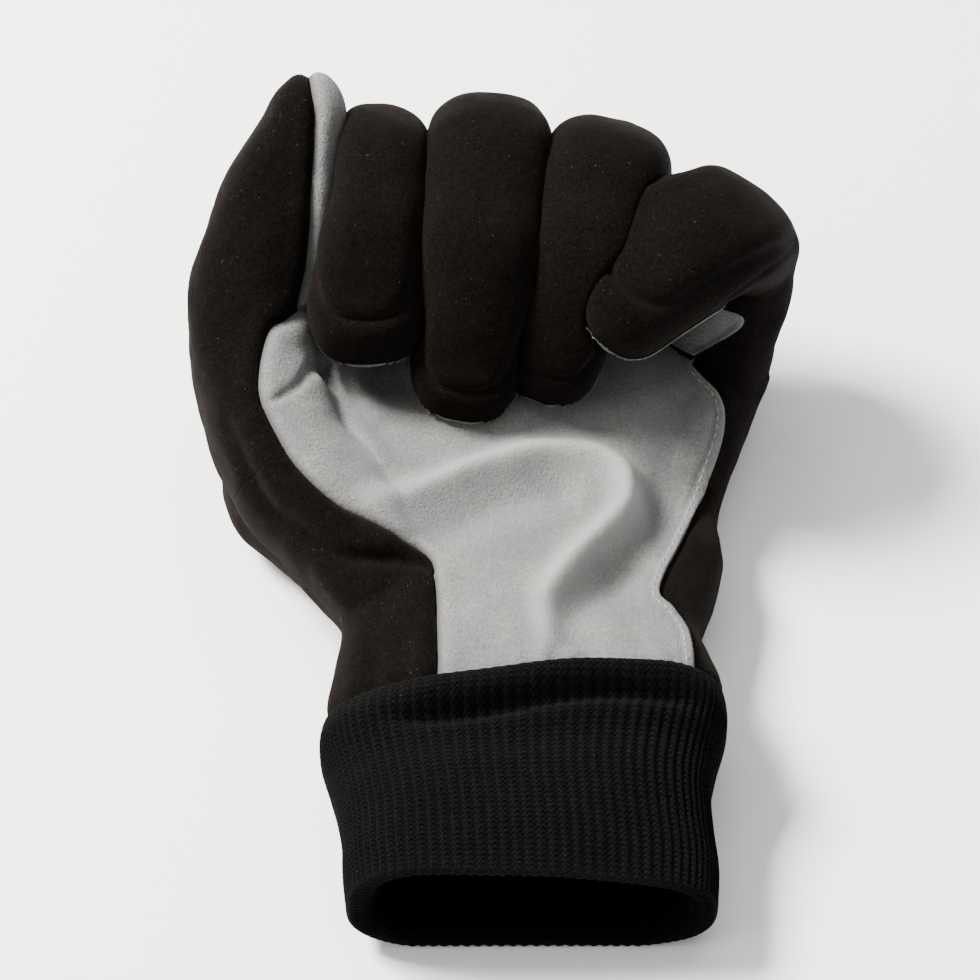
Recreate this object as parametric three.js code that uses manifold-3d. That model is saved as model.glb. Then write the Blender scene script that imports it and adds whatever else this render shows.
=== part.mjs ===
// A fleece cross-country ski glove for the left hand, lying on its back with the fingers curled over the palm.
// Millimetres, +Z up. The wrist opening faces -Y, the knuckles +Y, and the thumb is on the -X side.
// One hollow hand is made first, from the outside and the lining of a palm pouch, four fingers and a thumb.
// The cloth pieces are then cut from its wall: black fleece back, thumb and finger sidewalls, and grey suede palm.
// A ribbed knit cuff of two layers closes the wrist end.

import * as THREE from "three";
import { mergeVertices } from "three/addons/utils/BufferGeometryUtils.js";
import Module from "manifold-3d";

const wasm = await Module();
wasm.setup();

// Driving sizes
const CUFF_LENGTH = 49;
const CUFF_WIDTH = 80;
const CUFF_HEIGHT = 31;
const CUFF_WALL = 4;
const RIB_COUNT = 104;
const RIB_DEPTH = 0.7;
const PALM_WIDTH = 86;
const PALM_LENGTH = 104;
const PALM_THICKNESS = 38;
const FIST_HEIGHT = 82;
const FINGER_WIDTH = 27;
const FINGER_THICKNESS = 23;
const THUMB_WIDTH = 27;
const THUMB_THICKNESS = 28;
const CUFF_SLANT = 0.06;
const CLOTH_WALL = 2;
const SEAM_GAP = 0.3;

// How finely each surface is divided
const OUTSIDE = { sides: 10, turnStep: 36, straightStep: 30, domeAngles: [35, 65] };
const INSIDE = { sides: 8, turnStep: 36, straightStep: 60, domeAngles: [50] };
const SQUARENESS = 2.3;

// Corners of each finger's centreline. across is a share of PALM_WIDTH, along of PALM_LENGTH from the cuff
// seam, up of FIST_HEIGHT, wide and thick of the finger's own width and thickness, and turn, the radius
// that rounds the corner, of its thickness.
const FINGER_CORNERS = {
  index: [
    { at: "root", across: -0.36, along: 0.58, up: 0.2, wide: 1.0, thick: 1.15 },
    { at: "knuckle", across: -0.41, along: 1.05, up: 0.175, wide: 1.04, thick: 1.25, turn: 0.8 },
    { at: "bend", across: -0.42, along: 1.255, up: 0.935, wide: 1.02, thick: 1.0, turn: 0.54 },
    { at: "last_joint", across: -0.43, along: 0.91, up: 0.855, wide: 1.03, thick: 0.98, turn: 0.6 },
    { at: "tip", across: -0.43, along: 0.8, up: 0.68, wide: 0.98, thick: 0.9 },
  ],
  middle: [
    { at: "root", across: -0.1, along: 0.58, up: 0.2, wide: 1.0, thick: 1.15 },
    { at: "knuckle", across: -0.1, along: 1.07, up: 0.175, wide: 1.02, thick: 1.25, turn: 0.8 },
    { at: "bend", across: -0.1, along: 1.275, up: 0.968, wide: 1.06, thick: 1.0, turn: 0.54 },
    { at: "last_joint", across: -0.125, along: 0.87, up: 0.845, wide: 1.02, thick: 0.98, turn: 0.6 },
    { at: "tip", across: -0.17, along: 0.733, up: 0.53, wide: 0.92, thick: 0.9 },
  ],
  ring: [
    { at: "root", across: 0.14, along: 0.58, up: 0.2, wide: 1.0, thick: 1.1 },
    { at: "knuckle", across: 0.19, along: 1.03, up: 0.175, wide: 1.02, thick: 1.2, turn: 0.8 },
    { at: "bend", across: 0.23, along: 1.225, up: 0.93, wide: 1.06, thick: 1.0, turn: 0.54 },
    { at: "last_joint", across: 0.14, along: 0.86, up: 0.825, wide: 0.98, thick: 0.96, turn: 0.6 },
    { at: "tip", across: 0.055, along: 0.769, up: 0.555, wide: 0.88, thick: 0.88 },
  ],
  little: [
    { at: "root", across: 0.3, along: 0.5, up: 0.19, wide: 0.95, thick: 1.1 },
    { at: "knuckle", across: 0.49, along: 0.94, up: 0.175, wide: 1.0, thick: 1.2, turn: 0.8 },
    { at: "bend", across: 0.57, along: 1.09, up: 0.58, wide: 1.08, thick: 1.08, turn: 0.6 },
    { at: "last_joint", across: 0.525, along: 0.97, up: 0.865, wide: 1.2, thick: 0.92, turn: 0.54 },
    { at: "tip", across: 0.29, along: 0.875, up: 0.615, wide: 1.06, thick: 1.02 },
  ],
  thumb: [
    { at: "root", across: -0.2, along: 0.16, up: 0.2, wide: 1.1, thick: 1.1 },
    { at: "base", across: -0.66, along: 0.56, up: 0.42, wide: 1.08, thick: 1.05, turn: 1.2 },
    { at: "joint", across: -0.765, along: 0.86, up: 0.55, wide: 1.0, thick: 1.03, turn: 1.2 },
    { at: "nail", across: -0.64, along: 1.08, up: 0.81, wide: 0.97, thick: 0.98, turn: 1 },
    { at: "tip", across: -0.59, along: 1.185, up: 0.94, wide: 0.72, thick: 0.52 },
  ],
  web: [
    { at: "palm", across: -0.34, along: 0.5, up: 0.2, wide: 1.3, thick: 0.9 },
    { at: "crotch", across: -0.52, along: 0.8, up: 0.33, wide: 1.2, thick: 0.8, turn: 1.5 },
    { at: "edge", across: -0.6, along: 0.95, up: 0.42, wide: 0.9, thick: 0.6 },
  ],
};
const TIP_DOME = 12;

// Finger that lies over each finger's side, where the two press together
const PRESSED_BY = { web: [], index: ["middle", "thumb"], middle: ["ring"], ring: ["little"], little: [], thumb: [] };

// Sections of the palm pouch along the hand. left and right are shares of PALM_WIDTH from the middle of
// the cuff, along of PALM_LENGTH from the cuff seam, top of PALM_THICKNESS.
const POUCH_SECTIONS = [
  { along: 0.0, left: -0.525, right: 0.5, top: 1.04, thenar: -0.1 },
  { along: 0.1, left: -0.51, right: 0.47, top: 1.04, thenar: -0.05 },
  { along: 0.2, left: -0.49, right: 0.45, top: 1.0, thenar: 0.05 },
  { along: 0.32, left: -0.52, right: 0.49, top: 0.94, thenar: 0.25 },
  { along: 0.42, left: -0.65, right: 0.52, top: 0.9, thenar: 0.5 },
  { along: 0.54, left: -0.785, right: 0.51, top: 0.86, thenar: 0.75 },
  { along: 0.66, left: -0.83, right: 0.54, top: 0.84, thenar: 0.8 },
  { along: 0.78, left: -0.76, right: 0.59, top: 0.84, thenar: 0.7 },
  { along: 0.88, left: -0.62, right: 0.63, top: 0.84, thenar: 0.4 },
  { along: 0.96, left: -0.5, right: 0.62, top: 0.78, thenar: 0.2 },
];
const POUCH_SQUARENESS = 2.8;
const POUCH_FLATTENED = 3;
const PALM_PADDING = 1.4;

// Outline of the suede palm seen from above, from the wrist up the thumb side and down the other side.
// across is a share of PALM_WIDTH, along of PALM_LENGTH.
const PALM_OUTLINE = [
  { at: "wrist", across: -0.238, along: -0.2 },
  { at: "wrist", across: -0.24, along: 0.104 },
  { at: "thumb_mound", across: -0.246, along: 0.213 },
  { at: "thumb_mound", across: -0.273, along: 0.295 },
  { at: "thumb_mound", across: -0.338, along: 0.329 },
  { at: "thumb_mound", across: -0.493, along: 0.382 },
  { at: "thumb_mound", across: -0.598, along: 0.451 },
  { at: "thumb_side", across: -0.675, along: 0.55 },
  { at: "thumb_side", across: -0.711, along: 0.635 },
  { at: "thumb_side", across: -0.688, along: 0.749 },
  { at: "thumb_crotch", across: -0.632, along: 0.797 },
  { at: "thumb_crotch", across: -0.58, along: 0.86 },
  { at: "index_root", across: -0.54, along: 0.98 },
  { at: "index_root", across: -0.5, along: 1.06 },
  { at: "ring_root", across: 0.3, along: 1.06 },
  { at: "little_root", across: 0.42, along: 0.98 },
  { at: "little_root", across: 0.44, along: 0.87 },
  { at: "heel_side", across: 0.512, along: 0.794 },
  { at: "heel_side", across: 0.521, along: 0.728 },
  { at: "heel_side", across: 0.484, along: 0.617 },
  { at: "heel_side", across: 0.408, along: 0.435 },
  { at: "notch", across: 0.35, along: 0.302 },
  { at: "notch", across: 0.334, along: 0.226 },
  { at: "wrist", across: 0.372, along: 0.182 },
  { at: "wrist", across: 0.407, along: 0.09 },
  { at: "wrist", across: 0.41, along: -0.2 },
];
const PALM_OUTLINE_BOTTOM = 0.5;

// The suede strip up the thumb's inner side: half its width as a share of the thumb's, how far before the
// thumb's base it starts, and how far past the centre of the tip it ends, in mm
const THUMB_STRIP = { share: 0.74, before: 2, past: 6 };

// Folds in the palm's top: height in mm, width and the ends as shares of PALM_WIDTH and PALM_LENGTH
const FOLDS = [
  { name: "crest", across: -0.3, along: 0.48, toAcross: 0.22, toAlong: 0.6, width: 0.07, height: 2.2 },
  { name: "hollow", across: 0.28, along: 0.48, toAcross: 0.06, toAlong: 0.18, width: 0.06, height: -2.6 },
  { name: "heel_crest", across: 0.1, along: 0.44, toAcross: -0.08, toAlong: 0.2, width: 0.06, height: 1.8 },
  { name: "thumb_crease", across: -0.56, along: 0.68, toAcross: -0.42, toAlong: 0.76, width: 0.05, height: -2 },
  { name: "back_crease", across: -0.4, along: 0.1, toAcross: -0.66, toAlong: 0.34, width: 0.05, height: -1.5 },
];

// Sections of the cuff. along is a share of CUFF_LENGTH, left and right of CUFF_WIDTH, high of CUFF_HEIGHT.
// lean raises the thumb side of the top and lowers the other.
const CUFF_SECTIONS = [
  { along: 0.0, left: -0.5, right: 0.5, high: 1.0, lean: 0.22 },
  { along: 0.06, left: -0.51, right: 0.505, high: 1.06, lean: 0.2 },
  { along: 0.28, left: -0.505, right: 0.49, high: 1.12, lean: 0.12 },
  { along: 0.52, left: -0.53, right: 0.49, high: 1.17, lean: 0.04 },
  { along: 0.72, left: -0.555, right: 0.51, high: 1.18, lean: 0 },
  { along: 0.86, left: -0.58, right: 0.54, high: 1.3, lean: -0.05 },
  { along: 1.0, left: -0.565, right: 0.53, high: 1.3, lean: -0.1 },
];
const CUFF_SQUARENESS = 3;
const CUFF_FLATTENED = 2;

const radians = THREE.MathUtils.degToRad;
const place = (row) =>
  new THREE.Vector3(row.across * PALM_WIDTH, CUFF_LENGTH + row.along * PALM_LENGTH, row.up * FIST_HEIGHT);

// A closed mesh through rings of points, with a fan at each end, as a solid
function loft(rings) {
  const sides = rings[0].length;
  const positions = [];
  const centreOf = (ring) => ring.reduce((sum, p) => sum.add(p), new THREE.Vector3()).divideScalar(sides);
  const push = (...points) => points.forEach((p) => positions.push(p.x, p.y, p.z));
  for (let k = 0; k + 1 < rings.length; k += 1) {
    for (let i = 0; i < sides; i += 1) {
      const j = (i + 1) % sides;
      push(rings[k][i], rings[k][j], rings[k + 1][j]);
      push(rings[k][i], rings[k + 1][j], rings[k + 1][i]);
    }
  }
  const first = rings[0];
  const last = rings[rings.length - 1];
  for (let i = 0; i < sides; i += 1) {
    const j = (i + 1) % sides;
    push(centreOf(first), first[j], first[i]);
    push(centreOf(last), last[i], last[j]);
  }
  return solidFrom(new THREE.BufferGeometry().setAttribute("position", new THREE.Float32BufferAttribute(positions, 3)));
}

function solidFrom(geometry) {
  geometry.deleteAttribute("normal");
  geometry.deleteAttribute("uv");
  const merged = mergeVertices(geometry, 1e-4);
  const triVerts = new Uint32Array(merged.index.array);
  const vertProperties = new Float32Array(merged.attributes.position.array);
  const made = new wasm.Manifold(new wasm.Mesh({ numProp: 3, vertProperties, triVerts }));
  if (made.volume() > 0) return made;
  return new wasm.Manifold(new wasm.Mesh({ numProp: 3, vertProperties, triVerts: triVerts.reverse() }));
}

// A point on a rounded rectangle: squareness 2 is an ellipse, and more is squarer
function roundedPoint(angle, squareness) {
  const power = 2 / squareness;
  const rounded = (value) => Math.sign(value) * Math.abs(value) ** power;
  return { x: rounded(Math.cos(angle)), y: rounded(Math.sin(angle)) };
}

const ringAngles = (sides) => Array.from({ length: sides }, (_, i) => ((i + 0.5) * 2 * Math.PI) / sides);

// Everything below the level is cut off, as cloth lies flat on a table
function trimmedBelow(solid, level) {
  const reach = 1000;
  const box = new THREE.BoxGeometry(reach, reach, reach);
  box.translate(0, 0, level - reach / 2);
  return solid.subtract(solidFrom(box));
}

// The centreline of a finger: straight stretches between rounded corners, followed by its length
function routeOf(rows, thickness) {
  const corners = rows.map(place);
  const pieces = [];
  const marks = [0];
  let start = corners[0];
  let length = 0;
  for (let i = 1; i + 1 < corners.length; i += 1) {
    const before = corners[i].clone().sub(corners[i - 1]).normalize();
    const after = corners[i + 1].clone().sub(corners[i]).normalize();
    const angle = before.angleTo(after);
    const radius = rows[i].turn * thickness;
    const enter = corners[i].clone().addScaledVector(before, -radius * Math.tan(angle / 2));
    const inward = after.clone().addScaledVector(before, -before.dot(after)).normalize();
    const straight = enter.distanceTo(start);
    pieces.push({ from: length, size: straight, start, along: before });
    length += straight;
    pieces.push({ from: length, size: radius * angle, start: enter, along: before, inward, radius, angle });
    marks.push(length + (radius * angle) / 2);
    length += radius * angle;
    start = corners[i].clone().addScaledVector(after, radius * Math.tan(angle / 2));
  }
  const end = corners[corners.length - 1];
  const along = end.clone().sub(start).normalize();
  pieces.push({ from: length, size: end.distanceTo(start), start, along });
  length += end.distanceTo(start);
  marks.push(length);
  return { pieces, marks, length };
}

function pointOnRoute(route, s) {
  const piece = route.pieces.findLast((p) => p.from <= s) ?? route.pieces[0];
  const into = s - piece.from;
  if (!piece.radius) return { p: piece.start.clone().addScaledVector(piece.along, into), t: piece.along.clone() };
  const a = into / piece.radius;
  const p = piece.start
    .clone()
    .addScaledVector(piece.along, piece.radius * Math.sin(a))
    .addScaledVector(piece.inward, piece.radius * (1 - Math.cos(a)));
  const t = piece.along.clone().multiplyScalar(Math.cos(a)).addScaledVector(piece.inward, Math.sin(a));
  return { p, t };
}

function routeStations(route, detail, from = 0) {
  const list = [from];
  for (const piece of route.pieces) {
    const step = piece.radius ? piece.radius * radians(detail.turnStep) : detail.straightStep;
    const count = Math.max(1, Math.ceil(piece.size / step));
    for (let k = 1; k <= count; k += 1) list.push(piece.from + (piece.size * k) / count);
  }
  return list.filter((s, i) => i === 0 || s > from + 1);
}

const lerpColumn = (rows, marks, s, column) => {
  const i = Math.max(0, Math.min(rows.length - 2, marks.findLastIndex((m) => m <= s)));
  const share = Math.min(1, Math.max(0, (s - marks[i]) / (marks[i + 1] - marks[i])));
  return THREE.MathUtils.lerp(rows[i][column], rows[i + 1][column], share);
};

// A finger knows its route, its sizes along it, and which way its back faces
function fingerOf(name) {
  const rows = FINGER_CORNERS[name];
  const isThumb = name === "thumb" || name === "web";
  const width = isThumb ? THUMB_WIDTH : FINGER_WIDTH;
  const thickness = isThumb ? THUMB_THICKNESS : FINGER_THICKNESS;
  const route = routeOf(rows, thickness);
  const [knuckle, bend] = [place(rows[1]), place(rows[2])];
  const tip = place(rows[rows.length - 1]);
  const curlCentre = knuckle.add(bend).add(tip).divideScalar(3);
  const backAt = ({ p, t }) => {
    const back = isThumb ? new THREE.Vector3(-1, -0.1, 0.1) : p.clone().sub(curlCentre);
    return back.addScaledVector(t, -back.dot(t)).normalize();
  };
  const halfSizes = (s, grow) => {
    const beyond = Math.max(0, s - route.length);
    const dome = Math.sqrt(Math.max(0, 1 - (beyond / (TIP_DOME + grow)) ** 2));
    return {
      wide: ((width * lerpColumn(rows, route.marks, s, "wide")) / 2 + grow) * dome,
      thick: ((thickness * lerpColumn(rows, route.marks, s, "thick")) / 2 + grow) * dome,
    };
  };
  const frameAt = (s) => {
    const here = pointOnRoute(route, s);
    const back = backAt(here);
    return { p: here.p, t: here.t, back, side: here.t.clone().cross(back) };
  };
  return { name, route, halfSizes, frameAt };
}

const FINGERS = Object.fromEntries(Object.keys(FINGER_CORNERS).map((name) => [name, fingerOf(name)]));

// The finger as a round-ended tube, grown or shrunk all round
function fingerTube(finger, detail, grow, from = 0) {
  const { route } = finger;
  const dome = detail.domeAngles.map((a) => route.length + (TIP_DOME + grow) * Math.sin(radians(a)));
  const stations = [...routeStations(route, detail, from), ...dome];
  const rings = stations.map((s) => {
    const { p, back, side } = finger.frameAt(s);
    const { wide, thick } = finger.halfSizes(s, grow);
    return ringAngles(detail.sides).map((angle) => {
      const at = roundedPoint(angle, SQUARENESS);
      return p.clone().addScaledVector(side, wide * at.x).addScaledVector(back, thick * at.y);
    });
  });
  return loft(rings);
}

// The tube less the neighbours that press on it, which keep a seam gap to it
function pressedTube(name, detail, grow, from = 0) {
  return PRESSED_BY[name].reduce(
    (tube, other) => tube.subtract(fingerTube(FINGERS[other], OUTSIDE, SEAM_GAP - grow)),
    fingerTube(FINGERS[name], detail, grow, from),
  );
}

// Sections of a table drawn through its rows by a smooth curve
function smoothRows(rows, count) {
  const columns = Object.keys(rows[0]);
  return Array.from({ length: count }, (_, k) => {
    const at = (k / (count - 1)) * (rows.length - 1);
    const i = Math.min(rows.length - 2, Math.floor(at));
    const u = at - i;
    const value = (column) => {
      const v = [-1, 0, 1, 2].map((d) => rows[Math.max(0, Math.min(rows.length - 1, i + d))][column]);
      const slopeA = (v[2] - v[0]) / 2;
      const slopeB = (v[3] - v[1]) / 2;
      return (
        v[1] + slopeA * u + (3 * (v[2] - v[1]) - 2 * slopeA - slopeB) * u ** 2 +
        (2 * (v[1] - v[2]) + slopeA + slopeB) * u ** 3
      );
    };
    return Object.fromEntries(columns.map((column) => [column, value(column)]));
  });
}

// How far the folds lift the palm at a point seen from above
function foldHeight(x, y) {
  const across = x / PALM_WIDTH;
  const along = (y - CUFF_LENGTH) / PALM_LENGTH;
  return FOLDS.reduce((sum, fold) => {
    const dx = fold.toAcross - fold.across;
    const dy = fold.toAlong - fold.along;
    const share = ((across - fold.across) * dx + (along - fold.along) * dy) / (dx * dx + dy * dy);
    const near = Math.max(0, Math.min(1, share));
    const away = Math.hypot(across - fold.across - near * dx, along - fold.along - near * dy);
    return sum + fold.height * Math.exp(-((away / fold.width) ** 2));
  }, 0);
}

function pouch(count, sides, grow) {
  const rows = smoothRows(POUCH_SECTIONS, count);
  const rings = rows.map((row, k) => {
    const left = row.left * PALM_WIDTH - grow;
    const right = row.right * PALM_WIDTH + grow;
    const bottom = -POUCH_FLATTENED - grow;
    const top = row.top * PALM_THICKNESS + grow * PALM_PADDING;
    const stretch = (k === count - 1 ? grow : 0) - (k === 0 && grow < 0 ? 1 : 0);
    const slant = CUFF_SLANT * Math.max(0, 1 - 4 * row.along);
    return ringAngles(sides).map((angle) => {
      const at = roundedPoint(angle, POUCH_SQUARENESS);
      const x = (left + right) / 2 + ((right - left) / 2) * at.x;
      const rise = at.y > 0 ? 1 + row.thenar * ((1 - at.x) / 2) ** 2 : 1;
      const y = CUFF_LENGTH + row.along * PALM_LENGTH + slant * x + stretch;
      const lift = foldHeight(x, y) * Math.max(0, at.y);
      return new THREE.Vector3(x, y, (bottom + top) / 2 + ((top - bottom) / 2) * at.y * rise + lift);
    });
  });
  return loft(rings);
}

// The hand's outside or lining as one solid, before the wall is taken between the two
function wholeHand(detail, grow, rows, sides) {
  const parts = Object.keys(FINGERS).map((name) => pressedTube(name, detail, grow));
  const joined = parts.reduce((sum, part) => sum.add(part), pouch(rows, sides, grow));
  return trimmedBelow(joined, -grow);
}

function cuffSolid(sides, grow, ribs) {
  const rings = smoothRows(CUFF_SECTIONS, 5).map((row, k, rows) => {
    const beyond = grow < 0 ? (k === 0 ? -1 : 0) + (k === rows.length - 1 ? 1 : 0) : 0;
    const left = row.left * CUFF_WIDTH - grow;
    const right = row.right * CUFF_WIDTH + grow;
    const bottom = -CUFF_FLATTENED - grow;
    const top = row.high * CUFF_HEIGHT + grow;
    return ringAngles(sides).map((angle, i) => {
      const at = roundedPoint(angle, CUFF_SQUARENESS);
      const rib = ribs && i % 2 ? -RIB_DEPTH : 0;
      const lean = at.y > 0 ? 1 - row.lean * at.x : 1;
      const x = (left + right) / 2 + ((right - left) / 2 + rib) * at.x;
      return new THREE.Vector3(
        x,
        row.along * (CUFF_LENGTH - SEAM_GAP + CUFF_SLANT * x) + beyond,
        (bottom + top) / 2 + ((top - bottom) / 2 + rib) * at.y * lean,
      );
    });
  });
  return trimmedBelow(loft(rings), -grow);
}

// A box-section cutter along the palm side of the thumb, narrowing to a rounded end at the tip
function thumbStrip(grow) {
  const { route, halfSizes, frameAt } = FINGERS.thumb;
  const from = route.marks[1] - THUMB_STRIP.before;
  const to = route.length + THUMB_STRIP.past + grow;
  const bend = THUMB_STRIP.share * halfSizes(route.length, 0).wide;
  const round = [0.6, 0.9, 0.99].map((a) => to - bend + bend * a);
  const stations = [...routeStations(route, OUTSIDE, from).filter((s) => s < to - bend - 2), to - bend, ...round];
  const rings = stations.map((s) => {
    const { p, back, side } = frameAt(s);
    const { wide, thick } = halfSizes(Math.min(s, route.length), 0);
    const into = Math.max(0, (s - to + bend) / bend);
    const reach = (THUMB_STRIP.share * wide + grow) * Math.sqrt(1 - into * into);
    const corner = (u, v) => p.clone().addScaledVector(side, u).addScaledVector(back, v);
    return [corner(-reach, grow), corner(reach, grow), corner(reach, -thick - 1), corner(-reach, -thick - 1)];
  });
  return loft(rings);
}

// The palm's outline as an upright prism, moved outwards by grow
function palmPrism(grow) {
  const points = PALM_OUTLINE.map((row) => new THREE.Vector2(row.across * PALM_WIDTH, row.along * PALM_LENGTH));
  const moved = points.map((p, i) => {
    const before = points[(i + points.length - 1) % points.length];
    const after = points[(i + 1) % points.length];
    const along = after.clone().sub(before).normalize();
    return new THREE.Vector2(p.x - along.y * grow, p.y + along.x * grow);
  });
  const bottom = PALM_OUTLINE_BOTTOM * PALM_THICKNESS - grow;
  const shape = new THREE.Shape(moved);
  const geometry = new THREE.ExtrudeGeometry(shape, { depth: 2 * FIST_HEIGHT, bevelEnabled: false });
  geometry.translate(0, CUFF_LENGTH, bottom);
  return solidFrom(geometry);
}

const zoneOf = (name, from, grow) => pressedTube(name, OUTSIDE, grow, FINGERS[name].route.marks[1] + from);
const largestBody = (solid) => {
  const bodies = solid.decompose();
  return bodies.reduce((best, body) => (body.volume() > best.volume() ? body : best), bodies[0]);
};

const CURLED = ["index", "middle", "ring", "little"];
const hand = wholeHand(OUTSIDE, 0, 12, 26).subtract(wholeHand(INSIDE, -CLOTH_WALL, 8, 14));
const cuff = cuffSolid(RIB_COUNT * 2, 0, true).subtract(cuffSolid(RIB_COUNT / 4, -CUFF_WALL, false));

function palmRegion(grow) {
  return CURLED.reduce(
    (region, name) => region.subtract(zoneOf(name, grow, SEAM_GAP * 1.5 - grow)),
    palmPrism(grow).add(thumbStrip(grow)),
  );
}

const palmGrown = palmRegion(SEAM_GAP).add(palmRegion(0));
const palm = largestBody(hand.intersect(palmRegion(0)));
const thumb = largestBody(hand.intersect(zoneOf("thumb", SEAM_GAP, SEAM_GAP / 2)).subtract(palmGrown));
const fingers = CURLED.map((name) => largestBody(hand.intersect(zoneOf(name, SEAM_GAP, SEAM_GAP / 2))));
const back = largestBody(
  [...CURLED, "thumb"].reduce((rest, name) => rest.subtract(zoneOf(name, 0, SEAM_GAP * 1.5)), hand.subtract(palmGrown)),
);

function meshOf(name, solid, colour, roughness) {
  const { vertProperties, triVerts } = solid.getMesh();
  const geometry = new THREE.BufferGeometry();
  geometry.setAttribute("position", new THREE.BufferAttribute(vertProperties, 3));
  geometry.setIndex(new THREE.BufferAttribute(triVerts, 1));
  const mesh = new THREE.Mesh(geometry, new THREE.MeshStandardMaterial({ color: colour, roughness, metalness: 0 }));
  mesh.name = name;
  return mesh;
}

const FLEECE = 0x15110e;
const SUEDE = 0xb9bcc0;
const KNIT = 0x0d0d0f;
const glove = new THREE.Group();
glove.name = "ski_glove";
glove.add(meshOf("back_panel", back, FLEECE, 1));
glove.add(meshOf("palm_panel", palm, SUEDE, 0.9));
glove.add(meshOf("thumb_panel", thumb, FLEECE, 1));
CURLED.forEach((name, i) => glove.add(meshOf(`${name}_finger`, fingers[i], FLEECE, 1)));
glove.add(meshOf("cuff", cuff, KNIT, 1));

// The origin is at the middle of the whole glove's outline on the table
const bounds = new THREE.Box3().setFromObject(glove);
const middle = bounds.getCenter(new THREE.Vector3());
glove.position.set(-middle.x, -middle.y, -bounds.min.z);

export default glove;
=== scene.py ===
"""A cross-country ski glove in black fleece, grey suede and black rib knit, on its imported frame."""

import math
from collections import namedtuple

import bpy
import numpy as np
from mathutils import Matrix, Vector
from mathutils.bvhtree import BVHTree


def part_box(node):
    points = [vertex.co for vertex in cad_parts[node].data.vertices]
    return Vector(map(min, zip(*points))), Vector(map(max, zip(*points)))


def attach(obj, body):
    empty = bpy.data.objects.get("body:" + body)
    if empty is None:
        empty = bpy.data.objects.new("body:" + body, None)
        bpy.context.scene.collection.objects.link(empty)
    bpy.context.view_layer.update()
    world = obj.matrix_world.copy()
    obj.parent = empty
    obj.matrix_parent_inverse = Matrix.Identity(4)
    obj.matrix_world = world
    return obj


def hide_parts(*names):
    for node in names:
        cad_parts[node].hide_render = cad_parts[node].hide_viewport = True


bl_info = {
    "name": "Ski glove",
    "version": (1, 0, 0),
    "blender": (4, 5, 0),
    "location": "View3D > Sidebar > Glove",
    "description": "Builds a fleece and suede ski glove with a rib-knit cuff",
    "category": "Object",
}

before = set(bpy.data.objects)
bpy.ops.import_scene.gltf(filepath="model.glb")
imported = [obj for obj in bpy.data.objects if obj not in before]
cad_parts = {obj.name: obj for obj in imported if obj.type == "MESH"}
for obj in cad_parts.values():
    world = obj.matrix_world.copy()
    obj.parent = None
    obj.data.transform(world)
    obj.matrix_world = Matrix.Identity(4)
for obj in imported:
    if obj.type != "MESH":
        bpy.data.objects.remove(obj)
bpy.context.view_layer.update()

# The pieces are drawn in millimetres from the middle of the wrist opening, with +Y towards the knuckles
MM = 0.001
WRIST_X = 0.00796
WRIST_Y = float(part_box("cuff")[0][1])
WRIST = np.array([WRIST_X, WRIST_Y, 0.0])

CUFF_LENGTH = 49.0
CUFF_WIDTH = 80.0
CUFF_HEIGHT = 31.0
CUFF_SLANT = 0.06
PALM_WIDTH = 86.0
PALM_LENGTH = 104.0
PALM_THICKNESS = 38.0
FIST_HEIGHT = 82.0
FINGER_WIDTH = 27.0
FINGER_THICKNESS = 23.0
THUMB_WIDTH = 27.0
THUMB_THICKNESS = 28.0
TIP_DOME = 12.0
SQUARENESS = 2.45
POUCH_SQUARENESS = 2.8
POUCH_FLATTENED = 3.0
CUFF_SQUARENESS = 3.0
CUFF_FLATTENED = 2.0

# Corners of each finger's centreline: across, along and up are shares of PALM_WIDTH, PALM_LENGTH and
# FIST_HEIGHT, wide and thick of the finger's own sizes, and turn of its thickness.
Corner = namedtuple("Corner", "across along up wide thick turn")
FINGER_CORNERS = {
    "index": (
        (-0.36, 0.58, 0.2, 1.0, 1.15, 0),
        (-0.41, 1.05, 0.175, 1.04, 1.25, 0.8),
        (-0.42, 1.255, 0.935, 1.02, 1.0, 0.54),
        (-0.43, 0.91, 0.855, 1.03, 0.98, 0.6),
        (-0.43, 0.8, 0.68, 0.98, 0.9, 0),
    ),
    "middle": (
        (-0.1, 0.58, 0.2, 1.0, 1.15, 0),
        (-0.1, 1.07, 0.175, 1.02, 1.25, 0.8),
        (-0.1, 1.275, 0.968, 1.06, 1.0, 0.54),
        (-0.125, 0.87, 0.845, 1.02, 0.98, 0.6),
        (-0.17, 0.733, 0.53, 0.92, 0.9, 0),
    ),
    "ring": (
        (0.14, 0.58, 0.2, 1.0, 1.1, 0),
        (0.19, 1.03, 0.175, 1.02, 1.2, 0.8),
        (0.23, 1.225, 0.93, 1.06, 1.0, 0.54),
        (0.14, 0.86, 0.825, 0.98, 0.96, 0.6),
        (0.055, 0.769, 0.555, 0.88, 0.88, 0),
    ),
    "little": (
        (0.3, 0.5, 0.19, 0.95, 1.1, 0),
        (0.49, 0.94, 0.175, 1.0, 1.2, 0.8),
        (0.57, 1.09, 0.58, 1.08, 1.08, 0.6),
        (0.51, 0.932, 0.89, 1.2, 0.94, 0.54),
        (0.215, 0.84, 0.745, 1.34, 1.12, 0),
    ),
    "thumb": (
        (-0.2, 0.16, 0.2, 1.1, 1.1, 0),
        (-0.66, 0.56, 0.42, 1.08, 1.05, 1.2),
        (-0.765, 0.86, 0.55, 1.0, 1.03, 1.2),
        (-0.66, 1.08, 0.81, 0.97, 1.03, 1.0),
        (-0.598, 1.185, 0.94, 0.7, 0.58, 0),
    ),
    "web": (
        (-0.34, 0.5, 0.2, 1.3, 0.9, 0),
        (-0.52, 0.8, 0.33, 1.2, 0.8, 1.5),
        (-0.6, 0.95, 0.42, 0.9, 0.6, 0),
    ),
}
CURLED = ("index", "middle", "ring", "little")

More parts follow.
